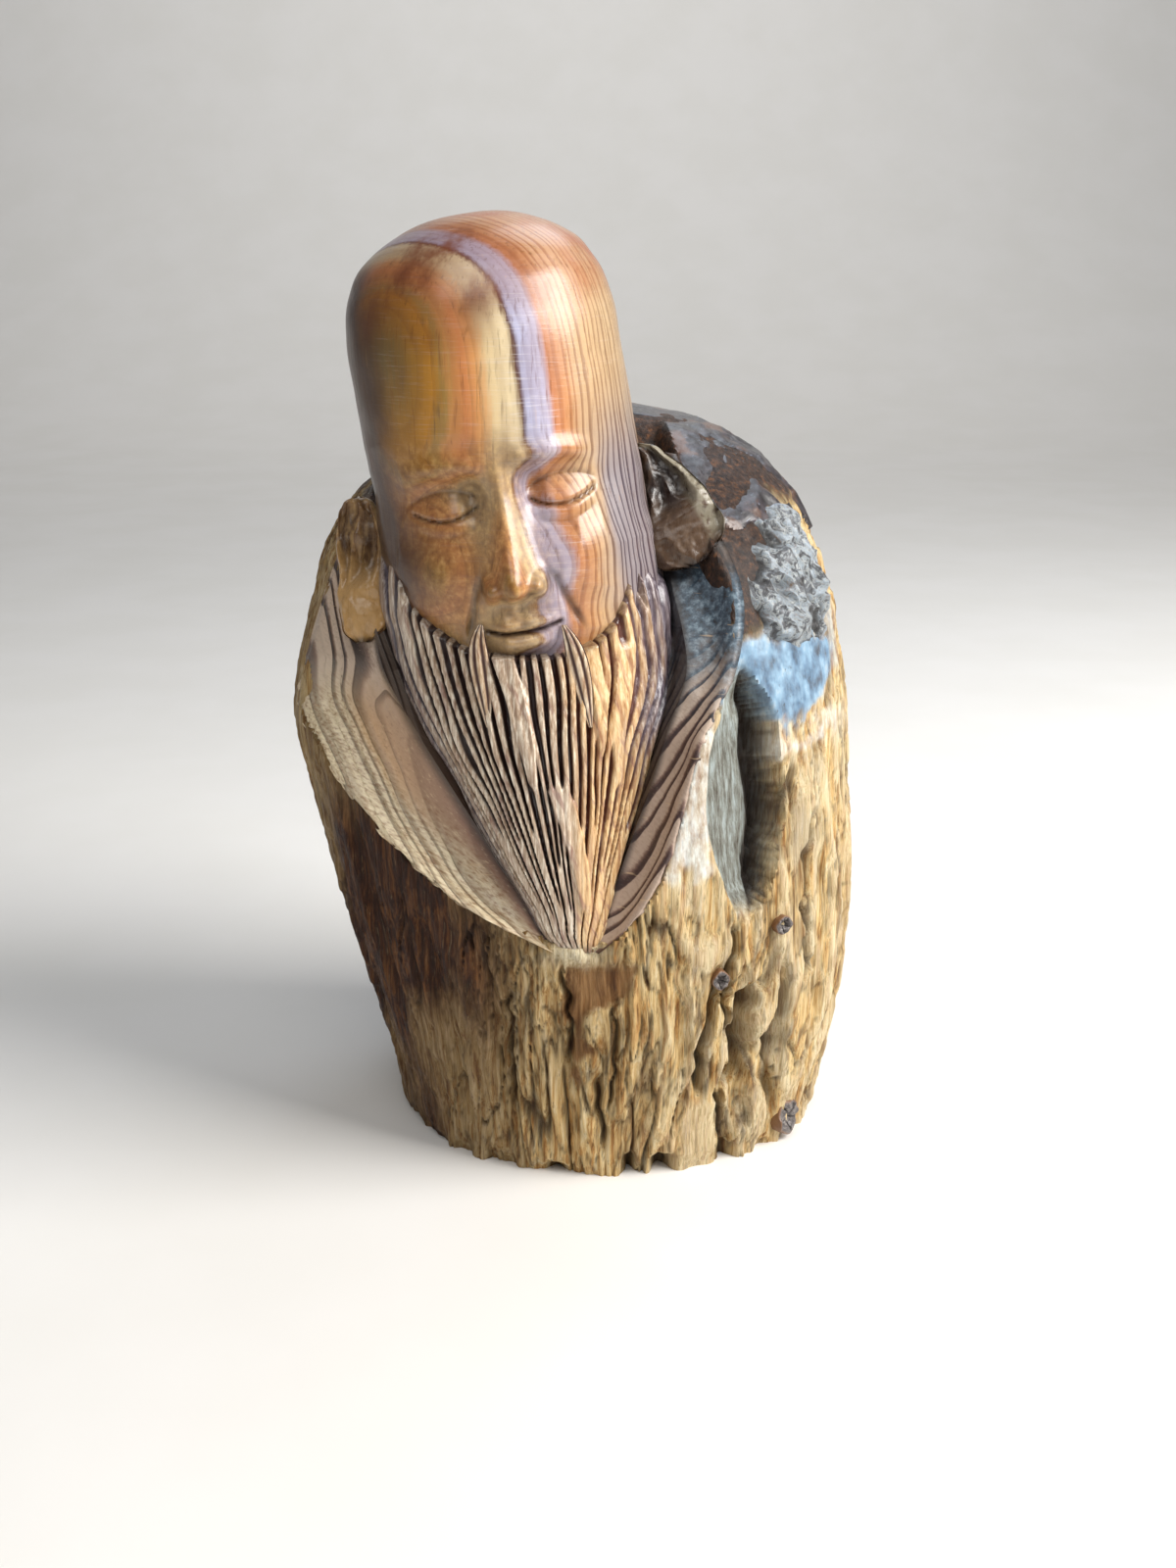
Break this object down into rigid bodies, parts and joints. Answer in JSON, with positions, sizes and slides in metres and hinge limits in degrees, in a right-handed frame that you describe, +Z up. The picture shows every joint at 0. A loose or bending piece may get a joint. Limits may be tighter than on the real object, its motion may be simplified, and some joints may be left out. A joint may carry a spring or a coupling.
{
  "type": "carved wooden figure",
  "caption": "Bearded sage with a tall domed head, carved from the upper end of a short leaning log that keeps its weathered bark side, burr and hollow.",
  "frame": {"origin": "middle of the sawn foot of the log", "axes": "+Z up along the standing figure, -Y the way the face looks, +X to the viewer's right (the figure's own left)"},
  "size_m": [0.0961, 0.079, 0.1506],
  "materials": {
    "weathered_sapwood": "rough, thin varnish",
    "varnished_heartwood": "glossy varnish",
    "beard_wood": "satin varnish on cut grooves",
    "lapel_wood": "satin varnish",
    "dark_bark": "glossy varnish over dark skin",
    "grey_burr": "rough, matt",
    "knot_wood": "satin end grain"
  },
  "bodies": {
    "root": {"stump": "weathered_sapwood", "head": "varnished_heartwood", "beard": "beard_wood", "moustache_right": "beard_wood", "moustache_left": "beard_wood", "right_lapel": "lapel_wood", "left_lapel": "lapel_wood", "right_ear": "varnished_heartwood", "left_ear": "varnished_heartwood", "shoulder_bark": "dark_bark", "shoulder_burr": "grey_burr", "foot_knot": "knot_wood", "pin_knot_upper": "knot_wood", "pin_knot_lower": "knot_wood"}
  },
  "joints": []
}
